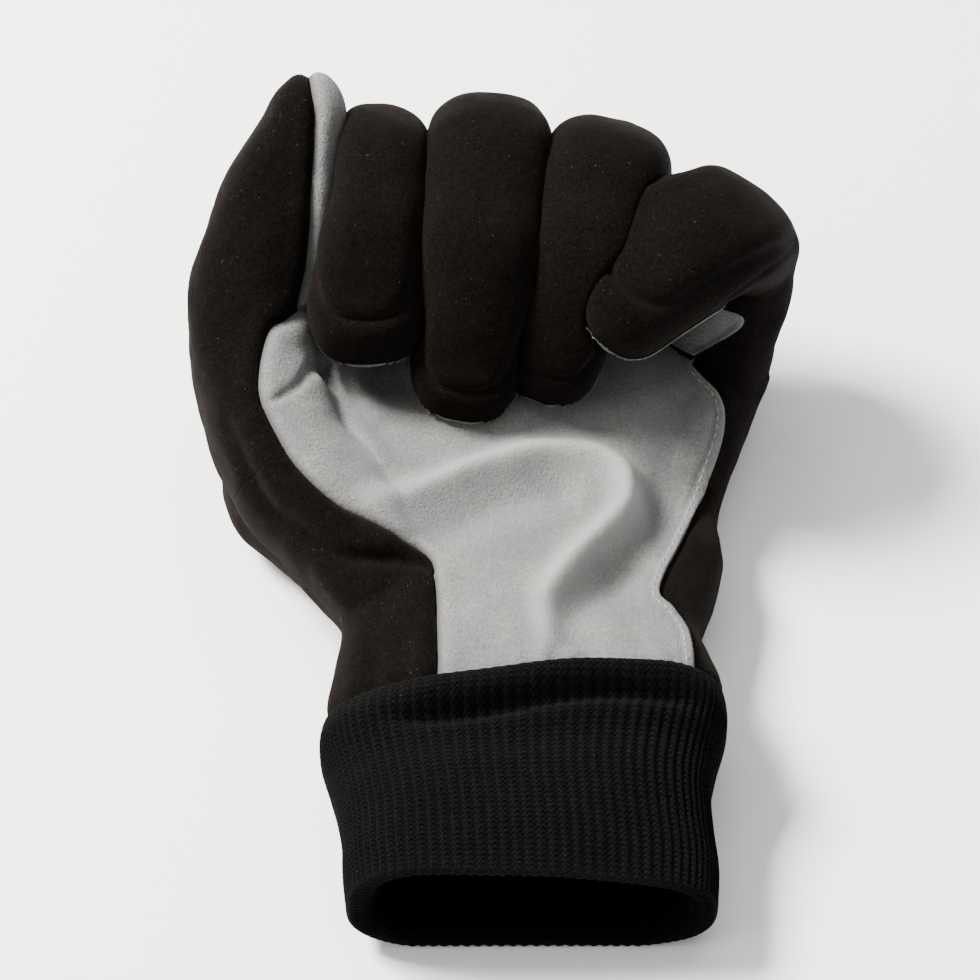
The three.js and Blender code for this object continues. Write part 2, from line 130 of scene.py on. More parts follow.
# How much of the room where two fingers press together each one gives up, by (finger, neighbour)
YIELD = {
    ("index", "middle"): 0.35,
    ("middle", "index"): 0.65,
    ("middle", "ring"): 0.8,
    ("ring", "middle"): 0.2,
    ("ring", "little"): 0.95,
    ("little", "ring"): 0.05,
    ("index", "thumb"): 0.9,
}
# Each fingertip: where its U-shaped seam ends in mm past the centre of the tip, how far up the finger the
# seam's legs show, and how far round the tip the suede reaches
Tip = namedtuple("Tip", "seam legs lip")
TIPS = {
    "index": Tip(-0.6, 15, 0.95),
    "middle": Tip(1.0, 12, 1.9),
    "ring": Tip(1.0, 12, 2.3),
    "little": Tip(-2.0, 30, 1.5),
}
# The seam's round end in mm, and how far out its legs run as a share of the finger's half-width
SEAM_ROUND = 12
SEAM_ACROSS = 0.88
# The index finger is slimmer beside the thumb: distance along in mm, and share of its width on that side
SLIM = {"index": ((84, 1.0), (98, 0.68), (112, 0.52), (124, 0.57), (134, 0.8), (143, 1.0))}
# Where the suede on the thumb's inner face begins: distance along in mm, and share of its thickness
STRIP_EDGE = ((100, -0.72), (110, -0.68), (120, -0.56), (130, -0.42), (137, -0.3), (145, -0.1), (153, 0.3))

# Sections of the palm pouch: along is a share of PALM_LENGTH, left and right of PALM_WIDTH, top of
# PALM_THICKNESS, and the last raises the thumb side.
POUCH_SECTIONS = (
    (0.0, -0.525, 0.5, 1.04, -0.1),
    (0.1, -0.51, 0.47, 1.04, -0.05),
    (0.2, -0.49, 0.45, 1.0, 0.05),
    (0.32, -0.52, 0.49, 0.94, 0.25),
    (0.42, -0.65, 0.52, 0.9, 0.5),
    (0.54, -0.785, 0.51, 0.86, 0.75),
    (0.66, -0.83, 0.54, 0.84, 0.8),
    (0.78, -0.76, 0.59, 0.84, 0.7),
    (0.88, -0.62, 0.63, 0.84, 0.4),
    (0.96, -0.5, 0.62, 0.78, 0.2),
)
# Sections of the cuff: shares along it, left and right of its width and high of its height, and its lean
CUFF_SECTIONS = (
    (0.0, -0.5, 0.5, 1.0, 0.22),
    (0.06, -0.51, 0.505, 1.06, 0.2),
    (0.28, -0.514, 0.494, 1.12, 0.12),
    (0.52, -0.53, 0.49, 1.17, 0.04),
    (0.72, -0.555, 0.51, 1.18, 0),
    (0.86, -0.58, 0.54, 1.3, -0.05),
    (1.0, -0.565, 0.53, 1.3, -0.1),
)

# The suede palm's outline seen from above, as (share of PALM_WIDTH, share of PALM_LENGTH)
PALM_OUTLINE = (
    (-0.238, -0.2), (-0.24, 0.104), (-0.246, 0.213), (-0.273, 0.295), (-0.338, 0.329), (-0.493, 0.382),
    (-0.598, 0.451), (-0.675, 0.55), (-0.711, 0.635), (-0.688, 0.749), (-0.632, 0.797), (-0.58, 0.86),
    (-0.54, 0.98), (-0.5, 1.06), (0.3, 1.06), (0.42, 0.98), (0.44, 0.87), (0.512, 0.794),
    (0.521, 0.728), (0.484, 0.617), (0.408, 0.435), (0.35, 0.302), (0.334, 0.226), (0.372, 0.182),
    (0.407, 0.09), (0.41, -0.2),
)
# The suede lies above PALM_LEVEL of the palm's thickness, and its edge is lapped from LAPPED_FROM on
PALM_LEVEL = 0.5
LAPPED_FROM = 16 / (len(PALM_OUTLINE) - 1)
# Inside the cuff the hand's skin narrows: share of the wrist's size, and mm below the cuff's end. It is
# cut off SKIN_IN_CUFF mm down. Small gathers above the cuff have GATHER_PITCH.
SKIRT = ((0.9, 9.0), (0.935, 5.0), (0.965, 1.5))
SKIN_IN_CUFF = 7
GATHER_PITCH = 8.5

# Folds of the palm and thumb mound, seen from above: half-width and height in mm, and points as shares of
# PALM_WIDTH and PALM_LENGTH
Fold = namedtuple("Fold", "name width height points")
FOLDS = (
    Fold("crest", 3.4, 3.6, (
        (-0.4, 0.405), (-0.262, 0.466), (-0.131, 0.528), (0.028, 0.58), (0.175, 0.585), (0.25, 0.535),
        (0.25, 0.45), (0.178, 0.35), (0.085, 0.238), (0.042, 0.158), (0.05, 0.05),
    )),
    Fold("outer_valley", 5.4, -3.4, (
        (0.37, 0.56), (0.345, 0.44), (0.27, 0.32), (0.172, 0.205), (0.12, 0.12), (0.14, 0.03),
    )),
    Fold("under_tips", 10.0, 3.2, ((-0.12, 0.7), (0.05, 0.74), (0.2, 0.75), (0.4, 0.72))),
    Fold("right_slope", 10.0, -4.6, ((0.46, 0.6), (0.41, 0.46), (0.35, 0.33), (0.28, 0.18), (0.26, 0.08))),
    Fold("inner_valley", 6.0, -3.0, ((-0.28, 0.33), (-0.1, 0.425), (0.04, 0.475), (0.14, 0.47))),
    Fold("palm_bowl", 7.0, -4.0, ((-0.5, 0.74), (-0.4, 0.76), (-0.3, 0.8))),
    Fold("web_crease", 1.1, -1.3, (
        (-0.68, 0.6), (-0.646, 0.619), (-0.603, 0.655), (-0.561, 0.733), (-0.53, 0.78),
    )),
    Fold("thenar_crease", 1.8, -2.4, (
        (-0.8, 0.57), (-0.699, 0.402), (-0.616, 0.347), (-0.545, 0.305), (-0.469, 0.274), (-0.324, 0.274),
        (-0.25, 0.25),
    )),
    Fold("web_fill", 3.2, 1.6, (
        (-0.56, 0.7), (-0.515, 0.68), (-0.475, 0.64), (-0.42, 0.557), (-0.38, 0.5),
    )),
    Fold("thenar_swell", 6.0, 1.8, ((-0.62, 0.24), (-0.5, 0.2), (-0.38, 0.19))),
)

# Knitting of the cuff: samples across one rib, length of one course of loops in mm, the cuff's wall in mm,
# and how far below its end the fold across it lies
RIB_SIDES = 8
COURSE = 1.15
CUFF_WALL = 3.4
CUFF_FOLD = 10.5

# Topstitching, in mm: how far inside the edge, the thread's radius, and a height above the whole glove
STITCH_INSET = 1.25
THREAD_RADIUS = 0.17
ABOVE = 120

# The little finger's side seam and the suede leaf at its root, as distances along the finger in mm
SIDE_SEAM = (88, 94, 113, 120)
LEAF = (72, 114)

CAMERA_TARGET = (-0.00104, 0.00824, 0.031)
CAMERA_DISTANCE = 0.9
CAMERA_ELEVATION = math.radians(52)
CAMERA_LENS = 145.65
Light = namedtuple("Light", "name place size power colour")
LIGHTS = (
    Light("softbox_back", (-0.78, 0.34, 1.1), 0.45, 90.0, (1.0, 0.985, 0.95)),
    Light("softbox_top", (0.1, 0.3, 1.5), 1.2, 10.0, (0.97, 0.985, 1.0)),
    Light("softbox_left", (-1.1, -0.4, 0.7), 0.6, 6.0, (1.0, 0.95, 0.88)),
)
CLOTHS = {
    "fleece": "black fleece",
    "suede": "grey suede",
    "finger": "fleece with suede inside",
    "knit": "black rib knit",
    "thread": "grey thread",
}


def rows_at(rows, at):
    """The table's rows drawn through by a smooth curve, at places from 0 to 1 along it."""
    table = np.array(rows, float)
    last = len(table) - 1
    place = np.clip(np.asarray(at, float), 0, 1) * last
    i = np.minimum(last - 1, np.floor(place).astype(int))
    u = (place - i)[:, None]
    v = [table[np.clip(i + d, 0, last)] for d in (-1, 0, 1, 2)]
    slope_a, slope_b = (v[2] - v[0]) / 2, (v[3] - v[1]) / 2
    cubic = 2 * (v[1] - v[2]) + slope_a + slope_b
    return v[1] + slope_a * u + (3 * (v[2] - v[1]) - 2 * slope_a - slope_b) * u**2 + cubic * u**3


def angles(sides):
    return (np.arange(sides) + 0.5) * 2 * math.pi / sides


def travelled(line):
    """The distance along a line at each of its points."""
    return np.concatenate([[0], np.cumsum(np.linalg.norm(np.diff(line, axis=0), axis=1))])


def near_segment(xy, a, b):
    """Each point's distance from the segment a to b, and its share of the way along it."""
    edge = b - a
    share = np.clip((xy - a) @ edge / max(edge @ edge, 1e-9), 0, 1)
    return np.linalg.norm(xy - a - share[:, None] * edge, axis=1), share


def rounded(angle, squareness):
    """Points of a rounded rectangle of half-sizes 1."""
    c, s = np.cos(angle), np.sin(angle)
    power = 2 / squareness
    return np.sign(c) * np.abs(c) ** power, np.sign(s) * np.abs(s) ** power


def blurred(values, sigma):
    """Values along a line, smoothed by a bell curve of so many samples, with the ends held."""
    reach = int(3 * sigma) + 1
    bell = np.exp(-0.5 * (np.arange(-reach, reach + 1) / sigma) ** 2)
    bell /= bell.sum()
    flat = values.reshape(len(values), -1)
    padded = np.pad(flat, ((reach, reach), (0, 0)), mode="edge")
    out = np.stack([np.convolve(padded[:, k], bell, "valid") for k in range(flat.shape[1])], 1)
    return out.reshape(values.shape)


def unit(v):
    return v / np.maximum(np.linalg.norm(v, axis=-1, keepdims=True), 1e-9)


def waves(points, length, seed, count=14):
    """A smooth random height from -1 to 1 with bumps of about that length, in mm."""
    rng = np.random.default_rng(seed)
    directions = unit(rng.normal(size=(count, 3))) * 2 * math.pi / length
    directions *= rng.uniform(0.7, 1.3, (count, 1))
    phases = rng.uniform(0, 2 * math.pi, count)
    return np.sin(points @ directions.T + phases).sum(1) / math.sqrt(count)


def ringed(centre, side, back, u, v):
    """Rings of points about each centre, u sideways and v backwards."""
    return centre[:, None] + side[:, None] * u[..., None] + back[:, None] * v[..., None]


class Finger:
    """A finger's centreline, sampled every half millimetre, with its frame and half-sizes."""

    STEP = 0.5

    def __init__(self, name):
        rows = [Corner(*row) for row in FINGER_CORNERS[name]]
        thumb_like = name in ("thumb", "web")
        width = THUMB_WIDTH if thumb_like else FINGER_WIDTH
        thickness = THUMB_THICKNESS if thumb_like else FINGER_THICKNESS
        scale = (PALM_WIDTH, PALM_LENGTH, FIST_HEIGHT)
        corners = [np.array(row[:3]) * scale + (0, CUFF_LENGTH, 0) for row in rows]
        path, marks = [corners[0]], [0.0]
        for i in range(1, len(corners) - 1):
            before, after = unit(corners[i] - corners[i - 1]), unit(corners[i + 1] - corners[i])
            angle = math.acos(np.clip(before @ after, -1, 1))
            radius = rows[i].turn * thickness
            enter = corners[i] - before * radius * math.tan(angle / 2)
            inward = unit(after - before * (before @ after))
            turn = np.linspace(0, angle, 40)[:, None]
            path.extend(enter + before * radius * np.sin(turn) + inward * radius * (1 - np.cos(turn)))
            marks.append(len(path) - 20)
        path.append(corners[-1])
        marks.append(len(path) - 1)
        path = np.array(path)
        reach = travelled(path)
        self.length = reach[-1]
        self.marks = [reach[int(m)] for m in marks]
        self.s = np.arange(0, self.length, self.STEP)
        centre = np.stack([np.interp(self.s, reach, path[:, k]) for k in range(3)], 1)
        self.p = blurred(centre, 3)
        self.t = unit(np.gradient(self.p, axis=0))
        if thumb_like:
            back = np.tile([-1.0, -0.1, 0.1], (len(self.s), 1))
        else:
            back = self.p - (corners[1] + corners[2] + corners[-1]) / 3
        self.back = unit(back - self.t * (back * self.t).sum(1, keepdims=True))
        self.side = np.cross(self.t, self.back)
        ease = 20 if thumb_like else 8
        self.wide = blurred(np.interp(self.s, self.marks, [r.wide * width / 2 for r in rows]), ease)
        self.thick = blurred(np.interp(self.s, self.marks, [r.thick * thickness / 2 for r in rows]), ease)
        self.knuckle = self.marks[1]

    def at(self, s):
        """Centre, back and side directions and half-sizes at distances s, past the tip too."""
        s = np.asarray(s, float)
        inside = np.minimum(s, self.s[-1])
        table = np.column_stack([self.p, self.t, self.back, self.side, self.wide, self.thick])
        here = np.stack([np.interp(inside, self.s, values) for values in table.T], 1)
        dome = np.sqrt(np.maximum(0, 1 - (np.maximum(0, s - self.length) / TIP_DOME) ** 2))
        centre = here[:, :3] + here[:, 3:6] * (s - inside)[:, None]
        return centre, here[:, 6:9], here[:, 9:12], here[:, 12] * dome, here[:, 13] * dome

    def places(self, start, end, step, cap=89):
        """Distances from start to end, and on over the rounded tip if the end lies past it."""
        stop = min(end, self.length)
        places = np.linspace(start, stop, max(2, int((stop - start) / step)))
        if end > self.length:
            over = np.radians(np.linspace(0, cap, 30)[1:])
            places = np.concatenate([places, self.length + TIP_DOME * np.sin(over)])
        return places

    def tube(self, end, sides):
        """Rings of points from the finger's root to end, or over its tip."""
        centre, back, side, wide, thick = self.at(self.places(0, end, 1.0))
        u, v = rounded(angles(sides), SQUARENESS)
        return ringed(centre, side, back, wide[:, None] * u, thick[:, None] * v)

    def local(self, points):
        """Each point's distance along, offsets sideways and back, and how far outside the finger it is."""
        index = np.zeros(len(points), int)
        ends = self.p[-1] + self.t[-1] * np.arange(0, TIP_DOME, 1.0)[:, None]
        line = np.concatenate([self.p, ends])
        squares = (line**2).sum(1)
        for k in range(0, len(points), 20000):
            part = points[k : k + 20000]
            index[k : k + 20000] = (squares - 2 * part @ line.T).argmin(1)
        last = len(self.p) - 1
        i = np.minimum(index, last)
        along = self.s[i] + ((points - self.p[i]) * self.t[i]).sum(1)
        centre, back, side, wide, thick = self.at(np.clip(along, 0, self.length + TIP_DOME * 0.98))
        offset = points - centre
        u, v = (offset * side).sum(1), (offset * back).sum(1)
        ratio = ((np.abs(u) / wide) ** SQUARENESS + (np.abs(v) / thick) ** SQUARENESS) ** (1 / SQUARENESS)
        ratio = np.maximum(ratio, 1e-3)
        away = np.hypot(u, v) * (1 - 1 / ratio)
        beyond = along - self.length - TIP_DOME
        away = np.where(beyond > 0, beyond + np.maximum(away, 0), away)
        return along, u, v, away


FINGERS = {name: Finger(name) for name in FINGER_CORNERS}


def mesh_object(name, points_mm, faces, uv=None):
    """A smooth-shaded mesh object in row-frame metres from points in glove millimetres."""
    points = points_mm * MM + WRIST
    mesh = bpy.data.meshes.new(name)
    mesh.from_pydata(points.tolist(), [], [list(map(int, f)) for f in faces])
    mesh.update()
    mesh.polygons.foreach_set("use_smooth", np.ones(len(mesh.polygons), bool))
    if uv is not None:
        layer = mesh.uv_layers.new(name="weave")
        corners = np.zeros(len(mesh.loops), int)
        mesh.loops.foreach_get("vertex_index", corners)
        layer.data.foreach_set("uv", uv[corners].astype(np.float32).ravel())
    obj = bpy.data.objects.new(name, mesh)
    bpy.context.collection.objects.link(obj)
    return obj


def points_of(obj):
    co = np.zeros(len(obj.data.vertices) * 3)
    obj.data.vertices.foreach_get("co", co)
    return (co.reshape(-1, 3) - WRIST) / MM


def move_points(obj, points_mm):
    obj.data.vertices.foreach_set("co", (points_mm * MM + WRIST).ravel())
    obj.data.update()


def normals_of(obj):
    normals = np.zeros(len(obj.data.vertices) * 3)
    obj.data.vertex_normals.foreach_get("vector", normals)
    return normals.reshape(-1, 3)


def paint(obj, name, values):
    """Stores a number for each point, for a material to read."""
    layer = obj.data.attributes.new(name, "FLOAT", "POINT")
    layer.data.foreach_set("value", np.asarray(values, np.float32))


def closed_loft(rings):
    """Points and faces of rings with a centre point at each end."""
    rows, sides = rings.shape[:2]
    points = np.concatenate([rings.reshape(-1, 3), [rings[0].mean(0)], [rings[-1].mean(0)]])
    k, i = np.meshgrid(np.arange(rows - 1) * sides, np.arange(sides), indexing="ij")
    j = (i + 1) % sides
    faces = np.stack([k + i, k + j, k + sides + j, k + sides + i], -1).reshape(-1, 4).tolist()
    first, last, top = rows * sides, rows * sides + 1, (rows - 1) * sides
    faces += [[first, (a + 1) % sides, a] for a in range(sides)]
    faces += [[last, top + a, top + (a + 1) % sides] for a in range(sides)]
    return points, faces


def joined(parts):
    points, faces, start = [], [], 0
    for part_points, part_faces in parts:
        points.append(part_points)
        faces += [[v + start for v in f] for f in part_faces]
        start += len(part_points)
    return np.concatenate(points), faces


def facing_out(faces, points):
    """The faces, turned round if they enclose a negative volume."""
    tri = np.array([f[:3] for f in faces])
    a, b, c = points[tri[:, 0]], points[tri[:, 1]], points[tri[:, 2]]
    if (a * np.cross(b, c)).sum() > 0:
        return faces
    return [f[::-1] for f in faces]


def apply_modifier(obj, kind, **settings):
    bpy.ops.object.select_all(action="DESELECT")
    obj.select_set(True)
    bpy.context.view_layer.objects.active = obj
    modifier = obj.modifiers.new(kind.title(), kind)
    for key, value in settings.items():
        setattr(modifier, key, value)
    bpy.ops.object.modifier_apply(modifier=modifier.name)


def fold_lift(points, folds=FOLDS):
    """How far the folds lift or sink each point, seen from above."""
    lift = np.zeros(len(points))
    for fold in folds:
        line = np.array(fold.points) * (PALM_WIDTH, PALM_LENGTH) + (0, CUFF_LENGTH)
        smooth = rows_at(line, np.linspace(0, 1, 30))
        away = np.full(len(points), 1e9)
        share = np.zeros(len(points))
        for k in range(len(smooth) - 1):
            d, t = near_segment(points[:, :2], smooth[k], smooth[k + 1])
            nearer = d < away
            away[nearer] = d[nearer]
            share[nearer] = (k + t[nearer]) / (len(smooth) - 1)
        fade = np.clip(np.minimum(share, 1 - share) / 0.2, 0, 1) ** 0.7
        lift += fold.height * (0.35 + 0.65 * fade) * bell(away, fold.width)
    return lift


def fold_named(name, width, height):
    """That fold's line with another width and height."""
    return next(fold for fold in FOLDS if fold.name == name)._replace(width=width, height=height)


def outline_curve(count=400):
    """The palm's outline as a closed smooth line in mm, seen from above."""
    corners = np.array(PALM_OUTLINE) * (PALM_WIDTH, PALM_LENGTH) + (0, CUFF_LENGTH)
    return rows_at(corners, np.linspace(0, 1, count))


def outline_distance(points, curve):
    """Signed distance from the palm's outline seen from above, negative inside, and the place along it."""
    xy = points[:, :2]
    ends = np.roll(curve, -1, axis=0)
    best = np.full(len(xy), 1e9)
    place = np.zeros(len(xy))
    inside = np.zeros(len(xy), bool)
    for k, (a, b) in enumerate(zip(curve, ends)):
        d, _ = near_segment(xy, a, b)
        nearer = d < best
        best[nearer] = d[nearer]
        place[nearer] = k / len(curve)
        if a[1] != b[1]:
            crosses = (a[1] > xy[:, 1]) != (b[1] > xy[:, 1])
            inside ^= crosses & (xy[:, 0] < (xy[:, 1] - a[1]) / (b[1] - a[1]) * (b[0] - a[0]) + a[0])
    return np.where(inside, -best, best), place


def palm_distance(points, curve):
    """How far outside the suede each point of the hand is, in mm: the palm and the strip up the thumb."""
    d, place = outline_distance(points, curve)
    d = np.maximum(d, PALM_LEVEL * PALM_THICKNESS - points[:, 2])
    thumb = FINGERS["thumb"]
    along, _, v, away = thumb.local(points)
    thick = np.interp(along, thumb.s, thumb.thick)
    strip = v - np.interp(along, *zip(*STRIP_EDGE)) * thick
    strip = np.maximum(strip, (thumb.marks[2] + 4 - along) * 0.5)
    strip = np.where(away < 4, strip, 99)
    return np.minimum(d, strip), place


def pouch_rings(rows=150, sides=170):
    """The palm pouch as rings of points, from just inside the cuff to the knuckles."""
    ax, ay = rounded(angles(sides), POUCH_SQUARENESS)
    rings = []
    for along, left, right, top, thenar in rows_at(POUCH_SECTIONS, np.linspace(0, 1, rows)):
        x = (left + right) / 2 * PALM_WIDTH + (right - left) / 2 * PALM_WIDTH * ax
        rise = np.where(ay > 0, 1 + thenar * ((1 - ax) / 2) ** 2, 1)
        slant = CUFF_SLANT * max(0, 1 - 4 * along)
        y = CUFF_LENGTH + along * PALM_LENGTH + slant * x
        low, high = -POUCH_FLATTENED, top * PALM_THICKNESS
        z = (low + high) / 2 + (high - low) / 2 * ay * rise
        rings.append(np.stack([x, y, z], 1))
    middle = rings[0].mean(0)
    skirt = []
    for share, drop in SKIRT:
        ring = middle + (rings[0] - middle) * (share, 1, share)
        skirt.append(ring - (0, drop, 0))
    return np.array(skirt + rings)


def hand_body(voxel):
    """The palm, back, thumb and finger roots as one smooth closed skin."""
    parts = [closed_loft(pouch_rings())]
    parts += [closed_loft(FINGERS[name].tube(FINGERS[name].knuckle + 5, 80)) for name in CURLED]
    parts += [closed_loft(FINGERS[name].tube(math.inf, 96)) for name in ("thumb", "web")]
    turned = [(points, facing_out(faces, points)) for points, faces in parts]
    points, faces = joined(turned)
    body = mesh_object("hand", points, faces)
    apply_modifier(body, "REMESH", mode="VOXEL", voxel_size=voxel * MM, use_smooth_shade=True)
    apply_modifier(body, "SMOOTH", factor=0.5, iterations=7)
    return body


def split_by(points, triangles, side):
    """Cuts triangles along side = 0 and returns the points with those below and above it."""
    side = side.copy()
    points = points.copy()
    edges = np.concatenate([triangles[:, [0, 1]], triangles[:, [1, 2]], triangles[:, [2, 0]]])
    a, b = edges[:, 0], edges[:, 1]
    crossing = side[a] * side[b] < 0
    a, b = a[crossing], b[crossing]
    share = side[a] / (side[a] - side[b])
    order = np.argsort(share)
    a, b, share = a[order], b[order], share[order]
    near = share < 0.32
    first, index = np.unique(a[near], return_index=True)
    target = b[near][index]
    points[first] += (points[target] - points[first]) * share[near][index][:, None]
    side[first] = 0
    sign = np.sign(side)[triangles].astype(int)
    cut = (sign.min(1) < 0) & (sign.max(1) > 0)
    below = list(triangles[~cut & (sign.sum(1) < 0)])
    above = list(triangles[~cut & (sign.sum(1) >= 0)])
    new_points, made = [], {}

    def between(i, j):
        key = (min(i, j), max(i, j))
        if key not in made:
            t = side[key[0]] / (side[key[0]] - side[key[1]])
            new_points.append(points[key[0]] + (points[key[1]] - points[key[0]]) * t)
            made[key] = len(points) + len(new_points) - 1
        return made[key]

    for t in triangles[cut]:
        s = np.sign(side[t])
        on_line = (s == 0).any()
        k = int(np.where(s == 0 if on_line else s != (1 if s.sum() > 0 else -1))[0][0])
        o, p, q = t[k], t[(k + 1) % 3], t[(k + 2) % 3]
        if on_line:
            m = between(p, q)
            (below if side[p] < 0 else above).append((o, p, m))
            (below if side[q] < 0 else above).append((o, m, q))
        else:
            m, n = between(o, p), between(o, q)
            (below if side[o] < 0 else above).append((o, m, n))
            (below if side[p] < 0 else above).extend([(m, p, q), (m, q, n)])
    if new_points:
        points = np.concatenate([points, np.array(new_points)])
    return points, np.array(below, int).reshape(-1, 3), np.array(above, int).reshape(-1, 3)


def piece_from(name, points, triangles):
    """An object of just these triangles and the points they use."""
    used = np.unique(triangles)
    number = np.full(len(points), -1)
    number[used] = np.arange(len(used))
    return mesh_object(name, points[used], number[triangles])


def settle(piece, node):
    """Puts a finished piece in the frame in place of its CAD node."""
    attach(piece, "root")
    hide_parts(node)


def resting(height, soft=0.5, gap=0.1):
    """Heights in mm with those under the floor flattened onto it."""
    return gap + soft * np.logaddexp(0, (height - gap) / soft)


def bell(values, width):
    return np.exp(-((values / width) ** 2))


def smooth_step(values, low, high):
    t = np.clip((values - low) / (high - low), 0, 1)
    return t * t * (3 - 2 * t)


class Value:
    """A number in a material, wrapped so that sums read as sums."""

    def __init__(self, tree, socket):
        self.tree = tree
        self.socket = socket

    def math(self, operation, *others):
        return self.tree.add("ShaderNodeMath", {"operation": operation}, self, *others)

    def __add__(self, other):
        return self.math("ADD", other)

    def __mul__(self, other):
        return self.math("MULTIPLY", other)

    def step(self, low, high):
        """From 0 at low to 1 at high, smoothly."""
        return self.tree.add(
            "ShaderNodeMapRange", {"interpolation_type": "SMOOTHSTEP"}, self, low, high, 0.0, 1.0
        )


class Material:
    """A node material under construction."""

    def __init__(self, name):
        self.material = bpy.data.materials.new(name)
        self.material.use_nodes = True
        self.nodes = self.material.node_tree.nodes
        self.links = self.material.node_tree.links
        self.nodes.clear()
        coordinates = self.nodes.new("ShaderNodeTexCoord")
        self.place = Value(self, coordinates.outputs["Object"])
        self.uv = Value(self, coordinates.outputs["UV"])

    def put(self, socket, value):
        if isinstance(value, Value):
            self.links.new(value.socket, socket)
        else:
            socket.default_value = value

    def add(self, kind, settings=None, *inputs, output=0, **named):
        """A node of any kind with its settings, and its inputs in order or by name."""
        node = self.nodes.new(kind)
        for key, value in (settings or {}).items():
            setattr(node, key, value)
        for socket, value in zip(node.inputs, inputs):
            self.put(socket, value)
        for key, value in named.items():
            self.put(node.inputs[key.replace("_", " ")], value)
        return Value(self, node.outputs[output])

    def noise(self, size_mm, detail=2.0, rough=0.5):
        scale = 1 / (size_mm * MM)
        return self.add(
            "ShaderNodeTexNoise", None, Vector=self.place, Scale=scale, Detail=detail, Roughness=rough
        )

    def mixed(self, factor, first, second):
        node = self.nodes.new("ShaderNodeMix")
        node.data_type = "RGBA"
        self.put(node.inputs["Factor"], factor)
        for socket, value in ((node.inputs[6], first), (node.inputs[7], second)):
            self.put(socket, value if isinstance(value, Value) else (*value, 1.0))
        return Value(self, node.outputs[2])

    def bump(self, height, strength, distance_mm, under=None):
        node = self.nodes.new("ShaderNodeBump")
        node.inputs["Strength"].default_value = strength
        node.inputs["Distance"].default_value = distance_mm * MM
        self.put(node.inputs["Height"], height)
        if under is not None:
            self.put(node.inputs["Normal"], under)
        return Value(self, node.outputs["Normal"])

    def attribute(self, name):
        node = self.nodes.new("ShaderNodeAttribute")
        node.attribute_name = name
        return Value(self, node.outputs["Fac"])

    def cloth(self, colour, normal, roughness, sheen, tint):
        node = self.nodes.new("ShaderNodeBsdfPrincipled")
        self.put(node.inputs["Base Color"], colour)
        self.put(node.inputs["Normal"], normal)
        self.put(node.inputs["Roughness"], roughness)
        node.inputs["Specular IOR Level"].default_value = 0.035
        node.inputs["Sheen Weight"].default_value = sheen
        node.inputs["Sheen Roughness"].default_value = 0.45
        node.inputs["Sheen Tint"].default_value = (*tint, 1.0)
        out = self.nodes.new("ShaderNodeOutputMaterial")
        self.links.new(node.outputs[0], out.inputs[0])
        return self.material


def fleece_look(m, dark, light):
    """Colour, bump and roughness of brushed fleece: short clumped nap with a few specks of lint."""
    nap = m.noise(0.62, 3.0, rough=0.8)
    tufts = m.noise(1.3, 3.0, rough=0.7)
    wear = m.noise(16.0, 3.0)
    shade = nap.step(0.4, 0.62) * 0.6 + tufts.step(0.35, 0.68) * 0.25 + wear.step(0.35, 0.7) * 0.15
    colour = m.mixed(shade, dark, light)
    lint = m.noise(0.75, 1.0).step(0.72, 0.78)
    colour = m.mixed(lint * 0.35, colour, (0.055, 0.048, 0.042))
    coarse = m.bump(tufts, 0.45, 0.45)
    return colour, m.bump(nap, 0.8, 0.5, coarse), nap * 0.1 + 0.86


def suede_look(m, base, cool):
    """Colour, bump and roughness of synthetic suede: mottled nap with soft rubbed patches."""
    patches = m.noise(11.0, 4.0, rough=0.6)
    mottle = m.noise(1.6, 3.0, rough=0.75)
    grain = m.noise(0.6, 3.0, rough=0.8)
    colour = m.mixed(patches.step(0.35, 0.68), base, cool)
    colour = m.mixed(mottle.step(0.36, 0.64) * 0.7, colour, tuple(0.76 * c for c in base))
    colour = m.mixed(grain.step(0.42, 0.62) * 0.8, colour, tuple(0.56 * c for c in base))
    coarse = m.bump(mottle, 0.35, 0.35)
    return colour, m.bump(grain, 0.8, 0.5, coarse), grain * 0.12 + 0.82


def seam_shade(m, colour):
    """Painted shade: darkens the colour where a seam or crease sinks."""
    return m.mixed(m.attribute("seam"), colour, (0.004, 0.0035, 0.003))


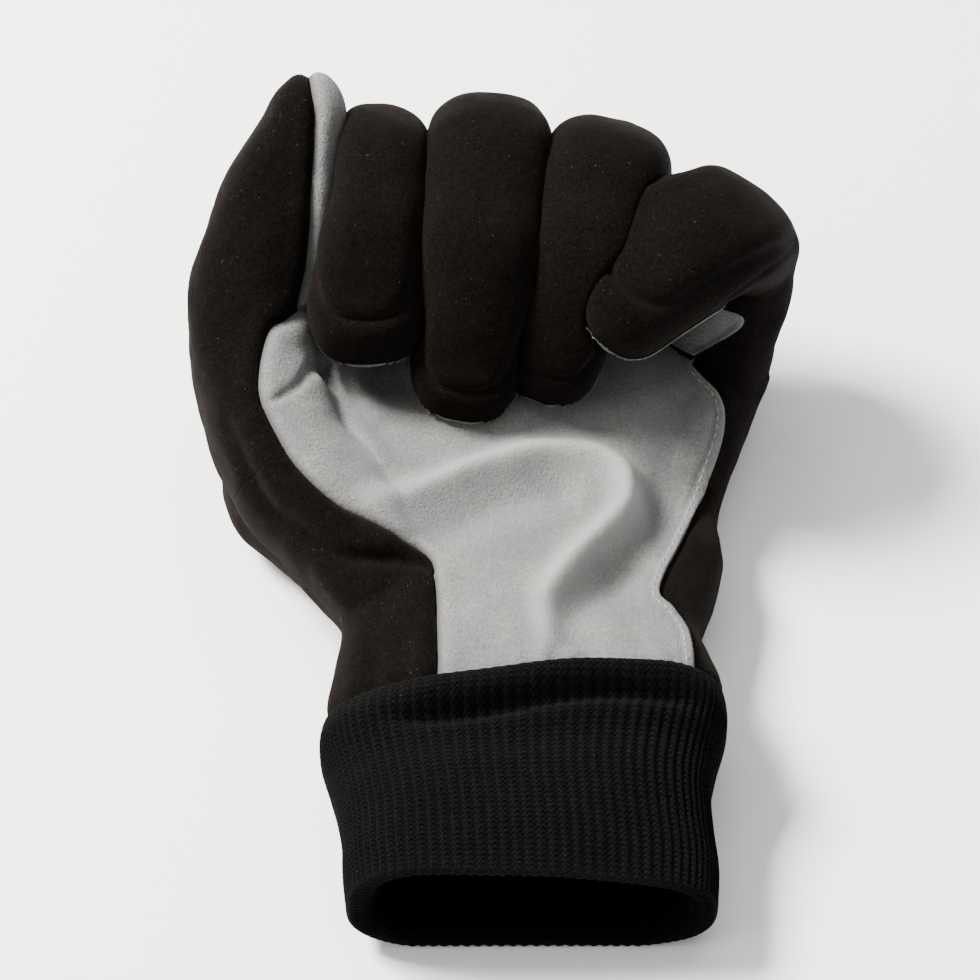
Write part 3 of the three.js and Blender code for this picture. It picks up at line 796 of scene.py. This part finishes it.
def make_materials(settings):
    """The glove's cloths."""
    dark, light = tuple(settings.fleece_dark), tuple(settings.fleece_light)
    base, cool = tuple(settings.suede_warm), tuple(settings.suede_cool)
    knit = tuple(settings.knit)

    m = Material(CLOTHS["fleece"])
    colour, normal, rough = fleece_look(m, dark, light)
    m.cloth(seam_shade(m, colour), normal, rough, 0.022, (0.7, 0.55, 0.45))

    m = Material(CLOTHS["suede"])
    colour, normal, rough = suede_look(m, base, cool)
    # Painted highlight: the suede is lighter along the top of the palm's crest fold
    colour = m.mixed(m.attribute("rubbed") * 0.5, colour, tuple(1.9 * c for c in base))
    # Painted shade: the suede is darker in its turned seams and along the web crease
    colour = m.mixed(m.attribute("seam"), colour, tuple(0.3 * c for c in base))
    m.cloth(colour, normal, rough, 0.12, (0.9, 0.9, 0.92))

    m = Material(CLOTHS["finger"])
    black, nap, rough = fleece_look(m, dark, light)
    grey, grain, _ = suede_look(m, base, cool)
    inner = m.attribute("suede").step(0.42, 0.58)
    colour = seam_shade(m, m.mixed(inner, black, grey))
    blend = m.nodes.new("ShaderNodeMix")
    blend.data_type = "VECTOR"
    m.put(blend.inputs["Factor"], inner)
    m.put(blend.inputs[4], nap)
    m.put(blend.inputs[5], grain)
    m.cloth(colour, Value(m, blend.outputs[1]), rough, 0.022, (0.7, 0.58, 0.48))

    m = Material(CLOTHS["knit"])
    across = m.add("ShaderNodeSeparateXYZ", None, m.uv)
    up = Value(m, across.socket.node.outputs[1])
    slope = (across * 2 * math.pi).math("SINE").math("ABSOLUTE")
    loops = ((up + slope * 0.55) * 2 * math.pi).math("SINE") * 0.5 + 0.5
    yarn = m.noise(0.6, 3.0, rough=0.85)
    fuzz = m.noise(6.0, 3.0)
    shade = loops * 0.4 + yarn.step(0.4, 0.62) * 0.6 + fuzz.step(0.35, 0.65) * 0.1
    colour = m.mixed(shade, tuple(0.3 * c for c in knit), tuple(4.0 * c for c in knit))
    colour = m.mixed(m.noise(0.8, 1.0).step(0.78, 0.8) * 0.35, colour, (0.07, 0.065, 0.06))
    # Painted shade: near black in the rib valleys and over the cuff's inside wall
    colour = m.mixed(m.attribute("seam"), colour, (0.0004, 0.0004, 0.0005))
    normal = m.bump(yarn, 1.0, 0.6, m.bump(loops, 0.8, 0.5))
    m.cloth(colour, normal, yarn * 0.1 + 0.84, 0.015, (0.65, 0.64, 0.64))

    m = Material(CLOTHS["thread"])
    twist = m.noise(0.3, 2.0)
    colour = m.mixed(twist, (0.2, 0.2, 0.2), (0.32, 0.32, 0.32))
    m.cloth(colour, m.bump(twist, 0.4, 0.1), 0.6, 0.1, (0.8, 0.8, 0.8))


def dress(piece, cloth):
    """Gives a piece its cloth. The materials are made once."""
    if CLOTHS["fleece"] not in bpy.data.materials:
        make_materials(bpy.context.scene.glove)
    piece.data.materials.append(bpy.data.materials[CLOTHS[cloth]])


def length_setting(name, about, millimetres):
    return bpy.props.FloatProperty(name=name, description=about, default=millimetres * MM, unit="LENGTH")


def colour_setting(name, about, colour):
    return bpy.props.FloatVectorProperty(
        name=name, description=about, default=colour, size=3, subtype="COLOR"
    )


class GloveSettings(bpy.types.PropertyGroup):
    """Sizes and colours of the glove."""

    voxel: length_setting("Skin detail", "Grid size of the hand's skin", 0.9)
    wall: length_setting("Cloth", "Thickness of the fleece and suede", 1.5)
    seam_depth: length_setting("Seam depth", "How far turned seams sink", 1.1)
    edge_lift: length_setting("Suede edge", "How far the lapped suede edge stands up", 0.7)
    rib_count: bpy.props.IntProperty(name="Ribs", description="Ribs round the cuff", default=104)
    rib_depth: length_setting("Rib depth", "Height of each knitted rib", 0.5)
    stitch_length: length_setting("Stitch", "Length of one topstitch", 1.7)
    stitch_pitch: length_setting("Stitch pitch", "From one topstitch to the next", 2.3)
    fleece_dark: colour_setting("Fleece, deep", "Colour between the tufts", (0.0006, 0.00045, 0.0004))
    fleece_light: colour_setting("Fleece, tips", "Colour on the tufts", (0.005, 0.0036, 0.0029))
    suede_warm: colour_setting("Suede", "Suede colour", (0.195, 0.192, 0.184))
    suede_cool: colour_setting("Suede, rubbed", "Suede colour on rubbed patches", (0.138, 0.149, 0.164))
    knit: colour_setting("Knit", "Cuff colour", (0.0012, 0.0012, 0.0012))


class GLOVE_OT_hand(bpy.types.Operator):
    """Makes the suede palm, the fleece back and the fleece thumb from one skin"""

    bl_idname = "glove.hand"
    bl_label = "Palm, back and thumb"

    def execute(self, context):
        settings = context.scene.glove
        body = hand_body(settings.voxel / MM)
        apply_modifier(body, "TRIANGULATE")
        points, normals = points_of(body), normals_of(body)
        wrist = smooth_step(points[:, 1], CUFF_LENGTH + 20, CUFF_LENGTH + 1)
        upper = smooth_step(normals[:, 2], -0.2, 0.6)
        lift = fold_lift(points) * upper
        lift += waves(points, 18, 3) * 0.32 + waves(points, 7, 4) * 0.08
        gather = np.sin(points[:, 0] * 2 * math.pi / GATHER_PITCH + 1.4 * waves(points, 24, 5))
        lift += gather * wrist * 0.2
        points += normals * lift[:, None]
        points[:, 2] = resting(points[:, 2])
        triangles = np.zeros(len(body.data.polygons) * 3, int)
        body.data.polygons.foreach_get("vertices", triangles)
        triangles = triangles.reshape(-1, 3)
        bpy.data.objects.remove(body)
        corners = points[triangles]
        skin_end = CUFF_LENGTH - SKIN_IN_CUFF + CUFF_SLANT * corners[:, :, 0].min(1)
        triangles = triangles[corners[:, :, 1].max(1) > skin_end]
        curve = outline_curve()
        points, palm, rest = split_by(points, triangles, palm_distance(points, curve)[0])
        self.panel("palm_panel", points, palm, "suede", curve, settings)
        thumb = FINGERS["thumb"]
        along, _, _, away = thumb.local(points)
        zone = np.maximum(thumb.marks[1] - 3 - along, away - 7)
        points, thumb_part, back_part = split_by(points, rest, zone)
        self.panel("thumb_panel", points, thumb_part, "fleece", curve, settings)
        self.panel("back_panel", points, back_part, "fleece", curve, settings)
        return {"FINISHED"}

    def panel(self, name, points, triangles, cloth, curve, settings):
        """One panel of the skin, with its edges turned in or lapped and its cloth given a wall."""
        piece = piece_from(name + "_cloth", points, triangles)
        where = points_of(piece)
        side, place = palm_distance(where, curve)
        outline, _ = outline_distance(where, curve)
        lapped = smooth_step(place, LAPPED_FROM - 0.03, LAPPED_FROM) * (np.abs(outline - side) < 1.5)
        depth, edge = settings.seam_depth / MM, settings.edge_lift / MM
        turned = -depth * bell(side, 1.0) + 0.35 * bell(np.abs(side) - 3.2, 2.0)
        if cloth == "suede":
            raised = edge * bell(side, 2.6) - 0.45 * bell(np.abs(side) - 2.1, 0.55)
        else:
            raised = -0.9 * bell(side, 1.8)
        lift = turned * (1 - lapped) + raised * lapped
        normals = normals_of(piece)
        where += normals * lift[:, None]
        move_points(piece, where)
        # Painted shade, stored as 'seam': dark in the turned seam, on the fleece under the lapped suede
        # edge, and along the web crease
        seam = bell(side, 0.75) * (1 - lapped) * 0.9
        if cloth != "suede":
            seam = np.maximum(seam, bell(side, 1.4) * lapped)
        painted_crease_shade = fold_lift(where, [fold_named("web_crease", 0.6, 0.9)]) * (normals[:, 2] > 0)
        paint(piece, "seam", np.maximum(seam, painted_crease_shade))
        # Painted highlight along the top of the crest fold, read by the suede's colour
        paint(piece, "rubbed", fold_lift(where, [fold_named("crest", 4.2, 1.0)]))
        apply_modifier(piece, "SOLIDIFY", thickness=settings.wall, offset=-1.0)
        dress(piece, cloth)
        settle(piece, name)


def pressed(name, points):
    """Points of a finger, moved back where it and its neighbours press together."""
    moved = points.copy()
    finger = FINGERS[name]
    along, u, v, _ = finger.local(points)
    centre = finger.at(np.clip(along, 0, finger.length))[0]
    inward = unit(centre - points)
    room = 0.75 * np.hypot(u, v)
    taken = np.zeros(len(points))
    for (mine, other), share in YIELD.items():
        if mine != name:
            continue
        neighbour = FINGERS[other]
        goal = None
        for _ in range(4):
            place, _, _, away = neighbour.local(moved)
            if goal is None:
                goal = (1 - share) * np.minimum(0, away)
            step = np.clip(goal - away, 0, 4) * (place > 0)
            step = np.minimum(step, room - taken)
            taken += step
            moved += inward * step[:, None]
    return moved


class GLOVE_OT_stitches(bpy.types.Operator):
    """Sews the topstitching along the lapped edge of the suede palm"""

    bl_idname = "glove.stitches"
    bl_label = "Topstitching"

    def execute(self, context):
        settings = context.scene.glove
        palm = bpy.data.objects["palm_panel_cloth"]
        surface = BVHTree.FromObject(palm, context.evaluated_depsgraph_get())
        curve = outline_curve(1600)
        curve = curve[int(len(curve) * LAPPED_FROM) :]
        run = travelled(curve)
        pitch, half = settings.stitch_pitch / MM, settings.stitch_length / MM / 2
        parts = []

        def at(distance):
            return np.array([np.interp(distance, run, curve[:, k]) for k in (0, 1)])

        for middle in np.arange(pitch, run[-1] - pitch, pitch):
            hits = []
            for d in (middle - half, middle, middle + half):
                way = unit(at(d + 0.5) - at(d))
                x, y = at(d) + STITCH_INSET * np.array([way[1], -way[0]])
                origin = np.array([x, y, ABOVE]) * MM + WRIST
                place, normal, _, _ = surface.ray_cast(Vector(origin), Vector((0, 0, -1)))
                if place is None:
                    break
                hits.append(((np.array(place) - WRIST) / MM, np.array(normal)))
            if len(hits) == 3 and hits[0][0][2] > PALM_LEVEL * PALM_THICKNESS:
                parts.append(self.stitch(hits))
        points, faces = joined(parts)
        piece = mesh_object("palm_topstitch", points, faces)
        dress(piece, "thread")
        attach(piece, "root")
        return {"FINISHED"}

    def stitch(self, hits):
        """A short thread, sunk into the cloth at both ends."""
        (a, _), (b, up), (c, _) = hits
        way = unit(c - a)
        across = unit(np.cross(up, way))
        angle = np.arange(8) * math.pi / 4
        rings = []
        for t in np.linspace(-1, 1, 7):
            centre = b + way * t * np.linalg.norm(c - a) / 2 + up * (0.16 - 0.34 * t * t)
            size = THREAD_RADIUS * math.sqrt(max(0.03, 1 - 0.8 * t**4))
            rings.append(centre + size * (np.cos(angle)[:, None] * across + np.sin(angle)[:, None] * up))
        points, faces = closed_loft(np.array(rings))
        return points, facing_out(faces, points - points.mean(0))


class GLOVE_OT_fingers(bpy.types.Operator):
    """Makes the four curled fingers with their U-shaped tip seams and suede inner faces"""

    bl_idname = "glove.fingers"
    bl_label = "Fingers"

    def execute(self, context):
        for name in CURLED:
            self.finger(name)
        return {"FINISHED"}

    def finger(self, name):
        """One finger, with its seam, its pale lip and the grey of its inner face."""
        finger = FINGERS[name]
        start = finger.knuckle - 7
        places = finger.places(start, math.inf, 0.62, 88.5)
        centre, back, side, wide, thick = finger.at(places)
        ru, rv = rounded(angles(140), SQUARENESS)
        tuck = 1.2 * smooth_step(places, start + 8, start)
        u = (wide - tuck)[:, None] * ru
        if name in SLIM:
            slim = blurred(np.interp(places, *zip(*SLIM[name])), 5)[:, None]
            u = np.where(u > 0, u * slim, u)
        v = (thick - tuck)[:, None] * rv
        rings = ringed(centre, side, back, u, v)
        rings = blurred(pressed(name, rings.reshape(-1, 3)).reshape(rings.shape), 1.2)
        points, faces = closed_loft(rings)
        piece = mesh_object(name + "_cloth", points, facing_out(faces, points))
        normals = normals_of(piece)
        full_wide = np.interp(places, finger.s, finger.wide)[:, None]
        full_thick = np.interp(places, finger.s, finger.thick)[:, None]
        tip = TIPS[name]
        end = finger.length + tip.seam
        beyond = np.maximum(0, places[:, None] - (end - SEAM_ROUND)) / SEAM_ROUND
        shape = ((np.abs(u) / (full_wide * SEAM_ACROSS)) ** 2.5 + beyond**2.5) ** 0.4
        away = (shape - 1) * (SEAM_ROUND - 1)
        front = smooth_step(rv[None, :] * np.ones_like(u), -0.15, 0.1)
        front = front * smooth_step(places, end - tip.legs - 10, end - tip.legs)[:, None]
        groove = bell(away, 0.85) * front
        puff = bell(np.abs(away) - 3.0, 1.8) * front * 0.3
        if name == "little":
            begin, full, fading, gone = SIDE_SEAM
            side_line = (rv[None, :] - 0.033 * (fading - places)[:, None]) * full_thick
            shown = smooth_step(places, begin, full) * smooth_step(places, gone, fading)
            shown = shown[:, None] * (ru < 0)
            groove = np.maximum(groove, bell(side_line, 1.1) * shown)
        past = np.maximum(0, places - finger.length)[:, None]
        round_tip = past / TIP_DOME
        border = -v - full_thick * (0.45 * (1 - round_tip) - tip.lip * round_tip**4)
        if name == "little":
            low = 58 + 17 * np.maximum(0, -u / full_wide - 0.36) - places[:, None]
            middle = np.minimum(places - LEAF[0], LEAF[1] - places)[:, None]
            near = 2 * np.logaddexp(low / 2, middle / 2)
            border = -2 * np.logaddexp(-border / 2, near / 2)
        lip = bell(border - 0.3, 0.55) * 0.75
        lift = np.concatenate([(-1.0 * groove + puff + lip).ravel(), [0, 0]])
        lift += waves(points, 18, 20 + len(name)) * 0.25 + waves(points, 7, 30 + len(name)) * 0.06
        wrinkle = np.interp(points_of(piece) @ np.array([0, 0.3, 1.0]), [0, 100], [0, 1])
        lift += np.sin(wrinkle * 60 + 2 * waves(points, 20, 41)) * 0.06
        move_points(piece, points + normals * lift[:, None])
        # Painted shade in the U-shaped seam groove and along the little finger's side seam
        paint(piece, "seam", np.concatenate([(groove * 0.85).ravel(), [0, 0]]))
        inner = smooth_step(border, -0.35, 0.35)
        paint(piece, "suede", np.concatenate([inner.ravel(), [inner[0].mean(), inner[-1].mean()]]))
        dress(piece, "finger")
        settle(piece, name + "_finger")


class GLOVE_OT_cuff(bpy.types.Operator):
    """Makes the rib-knit cuff, its ribs and its rolled hem"""

    bl_idname = "glove.cuff"
    bl_label = "Cuff"

    def execute(self, context):
        settings = context.scene.glove
        sides = settings.rib_count * RIB_SIDES
        angle = angles(sides)
        perimeter = travelled(np.stack(rounded(angle, CUFF_SQUARENESS), 1))
        even = np.interp(np.linspace(0, perimeter[-1], sides), perimeter, angle)
        ax, ay = rounded(even, CUFF_SQUARENESS)
        rib = np.cos(np.arange(sides) * 2 * math.pi / RIB_SIDES)
        rows = 74
        outer = self.rings(np.linspace(0.012, 0.99, rows), ax, ay, rib, 0.0, settings)
        inner = self.rings(np.linspace(0.03, 0.94, 24), ax, ay, rib * 0.3, -CUFF_WALL, settings)
        hem = []
        for turn in np.linspace(15, 165, 7):
            t = math.radians(turn)
            blend = (1 - math.cos(t)) / 2
            ring = outer[0] * (1 - blend) + inner[0] * blend
            hem.append(ring - [0, 1.5 * math.sin(t), 0])
        rings = np.array(list(outer[::-1]) + hem + list(inner))
        count = len(rings)
        points = rings.reshape(-1, 3)
        k, i = np.meshgrid(np.arange(count), np.arange(sides), indexing="ij")
        row, after, beside = k * sides, (k + 1) % count * sides, (i + 1) % sides
        faces = np.stack([row + i, after + i, after + beside, row + beside], -1)
        faces = facing_out(faces.reshape(-1, 4).tolist(), points)
        down = np.linalg.norm(np.diff(rings.mean(1), axis=0), axis=1)
        v = np.concatenate([[0], np.cumsum(np.maximum(down, 0.25))]) / COURSE
        u = np.arange(sides) / RIB_SIDES
        uv = np.stack(np.meshgrid(u, v), -1)
        piece = mesh_object("cuff_cloth", points, faces, uv.reshape(-1, 2))
        # Painted shade: the rib valleys half dark, and the inside wall of the cuff near black
        sink = np.zeros((count, sides))
        sink[:rows] = 0.5 * smooth_step(-rib, 0.3, 1.0)
        sink[rows + 4 :] = 1.0
        paint(piece, "seam", sink.ravel())
        dress(piece, "knit")
        settle(piece, "cuff")
        return {"FINISHED"}

    def rings(self, along, ax, ay, rib, grow, settings):
        """Rings of the cuff at places along it, grown or shrunk."""
        table = rows_at(CUFF_SECTIONS, along)
        depth = settings.rib_depth / MM
        out = []
        for place, (_, left, right, high, lean) in zip(along, table):
            tuck = 2.6 * smooth_step(np.array(place), 0.92, 0.99) ** 2
            gone = grow - tuck
            sides_in = gone * (1.75 if grow < 0 else 1)
            x0, x1 = left * CUFF_WIDTH - sides_in, right * CUFF_WIDTH + sides_in
            low, top = -CUFF_FLATTENED - gone, high * CUFF_HEIGHT + gone
            inset = depth * (rib - 1) / 2 * (1 - 0.6 * smooth_step(np.array(place), 0.78, 0.9))
            slope = np.where(ay > 0, 1 - lean * ax, 1)
            x = (x0 + x1) / 2 + ((x1 - x0) / 2 + inset) * ax
            z = (low + top) / 2 + ((top - low) / 2 + inset) * ay * slope
            reach = place * (CUFF_LENGTH - 0.9 + (CUFF_SLANT + 0.018) * x)
            ring = np.stack([x, reach, z], 1)
            valley = ring[:, 1] - (CUFF_LENGTH - CUFF_FOLD + 0.06 * x + 1.3 * np.sin(x / 13))
            across = np.clip(ay, 0, 1) * smooth_step(np.abs(x - 4), 42, 24)
            fold = (2.0 * bell(valley - 5.5, 4.0) - 4.2 * bell(valley, 2.2)) * across
            ring[:, 2] += fold + 0.5 * waves(ring, 26, 8) * np.clip(np.abs(ay), 0, 1)
            ring[:, 2] = np.maximum(ring[:, 2], 0.05 - min(0, grow))
            ring[:, 1] += 0.25 * rib * smooth_step(np.array(place), 0.08, 0.0)
            out.append(ring)
        return np.array(out)


class GLOVE_OT_stage(bpy.types.Operator):
    """Sets the pale floor, soft studio light and the photograph's camera"""

    bl_idname = "glove.stage"
    bl_label = "Floor, light and camera"

    def execute(self, context):
        scene = context.scene
        bpy.ops.mesh.primitive_plane_add(size=6, location=(0, 0, 0))
        floor = context.active_object
        floor.name = "floor"
        m = Material("pale paper")
        grain = m.noise(6.0, 3.0)
        colour = m.mixed(grain, (0.93, 0.93, 0.93), (0.95, 0.95, 0.948))
        floor.data.materials.append(m.cloth(colour, m.bump(grain, 0.05, 0.1), 0.9, 0.0, (1, 1, 1)))
        world = bpy.data.worlds.new("soft white")
        world.use_nodes = True
        background = world.node_tree.nodes["Background"]
        background.inputs[0].default_value = (1.0, 0.995, 0.985, 1.0)
        background.inputs[1].default_value = 0.6
        scene.world = world
        for row in LIGHTS:
            data = bpy.data.lights.new(row.name, "AREA")
            data.shape = "SQUARE"
            data.size = row.size
            data.energy = row.power
            data.color = row.colour
            light = bpy.data.objects.new(row.name, data)
            light.location = row.place
            aim = Vector((0, 0.01, 0.03)) - Vector(row.place)
            light.rotation_euler = aim.to_track_quat("-Z", "Y").to_euler()
            scene.collection.objects.link(light)
        camera_data = bpy.data.cameras.new("camera")
        camera_data.lens = CAMERA_LENS
        camera_data.sensor_width = 36
        camera_data.clip_end = 20
        camera = bpy.data.objects.new("camera", camera_data)
        way = Vector((0, -math.cos(CAMERA_ELEVATION), math.sin(CAMERA_ELEVATION)))
        camera.location = Vector(CAMERA_TARGET) + CAMERA_DISTANCE * way
        camera.rotation_euler = (math.pi / 2 - CAMERA_ELEVATION, 0, 0)
        scene.collection.objects.link(camera)
        scene.camera = camera
        return {"FINISHED"}


class GLOVE_PT_panel(bpy.types.Panel):
    """The glove's sizes, colours and pieces"""

    bl_idname = "GLOVE_PT_panel"
    bl_label = "Ski glove"
    bl_space_type = "VIEW_3D"
    bl_region_type = "UI"
    bl_category = "Glove"

    def draw(self, context):
        settings = context.scene.glove
        for name in GloveSettings.__annotations__:
            self.layout.prop(settings, name)
        for operator in OPERATORS:
            self.layout.operator(operator.bl_idname)


OPERATORS = (GLOVE_OT_stage, GLOVE_OT_cuff, GLOVE_OT_hand, GLOVE_OT_stitches, GLOVE_OT_fingers)
CLASSES = (GloveSettings, *OPERATORS, GLOVE_PT_panel)


def register():
    for cls in CLASSES:
        bpy.utils.register_class(cls)
    bpy.types.Scene.glove = bpy.props.PointerProperty(type=GloveSettings)


def unregister():
    del bpy.types.Scene.glove
    for cls in reversed(CLASSES):
        bpy.utils.unregister_class(cls)


def main():
    register()
    bpy.ops.glove.stage()
    bpy.ops.glove.cuff()
    bpy.ops.glove.hand()
    bpy.ops.glove.stitches()
    bpy.ops.glove.fingers()


if __name__ == "__main__":
    main()
